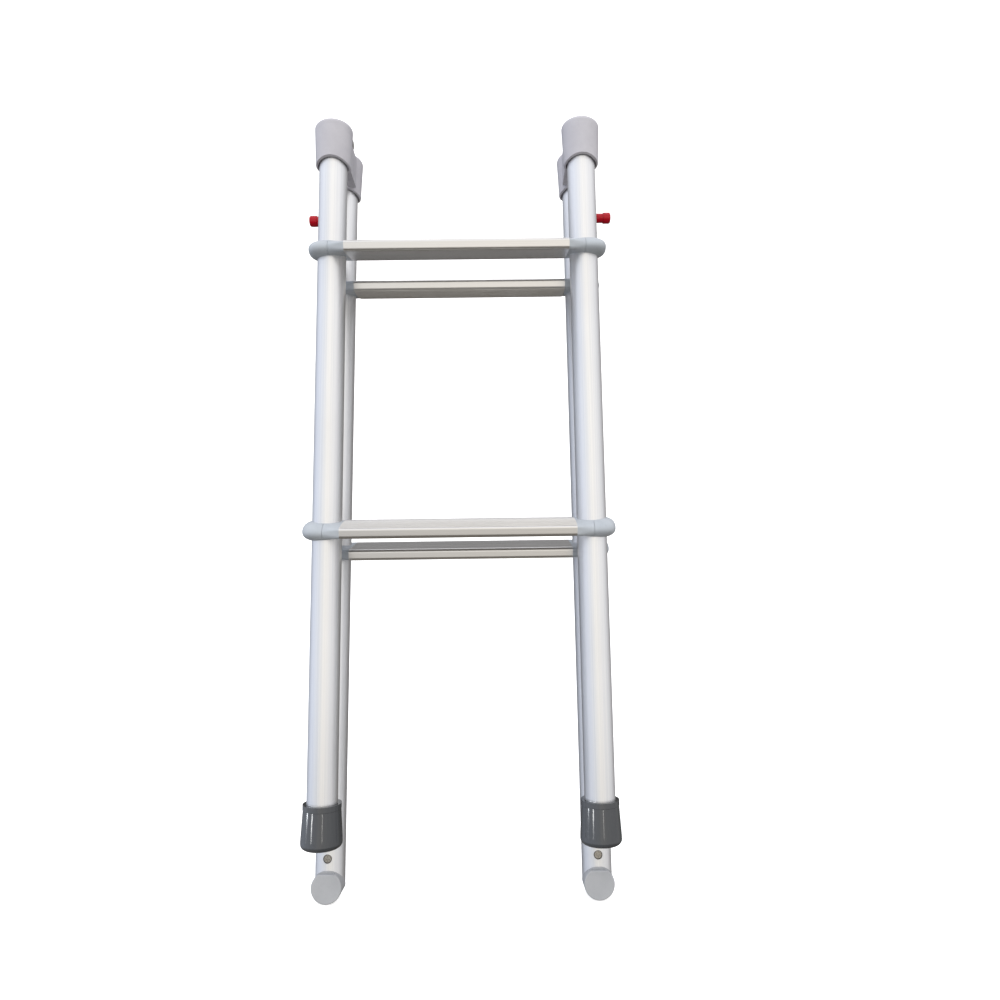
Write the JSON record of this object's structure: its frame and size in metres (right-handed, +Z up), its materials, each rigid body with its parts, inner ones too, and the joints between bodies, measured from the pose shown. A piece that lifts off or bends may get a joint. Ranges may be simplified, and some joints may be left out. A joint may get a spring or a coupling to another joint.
{
  "type": "folding boarding ladder",
  "caption": "Folding boat boarding ladder, shown folded: two tubular aluminium sections with ribbed treads, hinged end to end, with sliding locks, rubber boots and elbow feet.",
  "frame": {"origin": "centre of the folded ladder's footprint, at its lowest point", "axes": "+Z up the stiles of the lower section, +X across the ladder, -Y the climber's side"},
  "size_m": [0.35, 0.1108, 0.8191],
  "materials": {
    "anodised_aluminium": "satin clear anodised",
    "cap_plastic": "moulded light grey nylon",
    "foot_plastic": "moulded light grey nylon",
    "collar_plastic": "moulded blue-grey nylon",
    "bolt_plastic": "natural acetal",
    "boot_rubber": "semi-gloss dark grey rubber",
    "knob_plastic": "gloss red",
    "stainless_steel": "turned stainless steel"
  },
  "bodies": {
    "lower_section": {"hinge_pins": "stainless_steel", "left_boot": "boot_rubber", "lower_section_cap_rivets": "stainless_steel", "lower_section_collar_screws": "stainless_steel", "lower_section_high_left_collar_cap": "collar_plastic", "lower_section_high_left_collar_socket": "collar_plastic", "lower_section_high_right_collar_cap": "collar_plastic", "lower_section_high_right_collar_socket": "collar_plastic", "lower_section_high_tread": "anodised_aluminium", "lower_section_left_hinge_cap": "cap_plastic", "lower_section_left_stile": "anodised_aluminium", "lower_section_low_left_collar_cap": "collar_plastic", "lower_section_low_left_collar_socket": "collar_plastic", "lower_section_low_right_collar_cap": "collar_plastic", "lower_section_low_right_collar_socket": "collar_plastic", "lower_section_low_tread": "anodised_aluminium", "lower_section_right_hinge_cap": "cap_plastic", "lower_section_right_stile": "anodised_aluminium", "right_boot": "boot_rubber"},
    "upper_section": {"elbow_foot_screws": "stainless_steel", "left_elbow_foot": "foot_plastic", "right_elbow_foot": "foot_plastic", "upper_section_cap_rivets": "stainless_steel", "upper_section_collar_screws": "stainless_steel", "upper_section_high_left_collar_cap": "collar_plastic", "upper_section_high_left_collar_socket": "collar_plastic", "upper_section_high_right_collar_cap": "collar_plastic", "upper_section_high_right_collar_socket": "collar_plastic", "upper_section_high_tread": "anodised_aluminium", "upper_section_left_hinge_cap": "cap_plastic", "upper_section_left_stile": "anodised_aluminium", "upper_section_low_left_collar_cap": "collar_plastic", "upper_section_low_left_collar_socket": "collar_plastic", "upper_section_low_right_collar_cap": "collar_plastic", "upper_section_low_right_collar_socket": "collar_plastic", "upper_section_low_tread": "anodised_aluminium", "upper_section_right_hinge_cap": "cap_plastic", "upper_section_right_stile": "anodised_aluminium"},
    "left_lock": {"left_lock_bolt": "bolt_plastic", "left_lock_knob": "knob_plastic", "left_lock_knob_stud": "stainless_steel", "left_lock_knob_washer": "stainless_steel"},
    "right_lock": {"right_lock_bolt": "bolt_plastic", "right_lock_knob": "knob_plastic", "right_lock_knob_stud": "stainless_steel", "right_lock_knob_washer": "stainless_steel"}
  },
  "joints": [
    {"name": "unfold", "type": "hinge", "parent": "lower_section", "child": "upper_section", "pos_m": [0, 0.002, 0.81209], "axis": [1, 0, 0], "range_deg": [0, 181.43]},
    {"name": "left_lock_slide", "type": "slide", "parent": "upper_section", "child": "left_lock", "axis": [0, 0.025, 0.9997], "range_m": [0, 0.018]},
    {"name": "right_lock_slide", "type": "slide", "parent": "upper_section", "child": "right_lock", "axis": [0, 0.025, 0.9997], "range_m": [0, 0.018]}
  ]
}
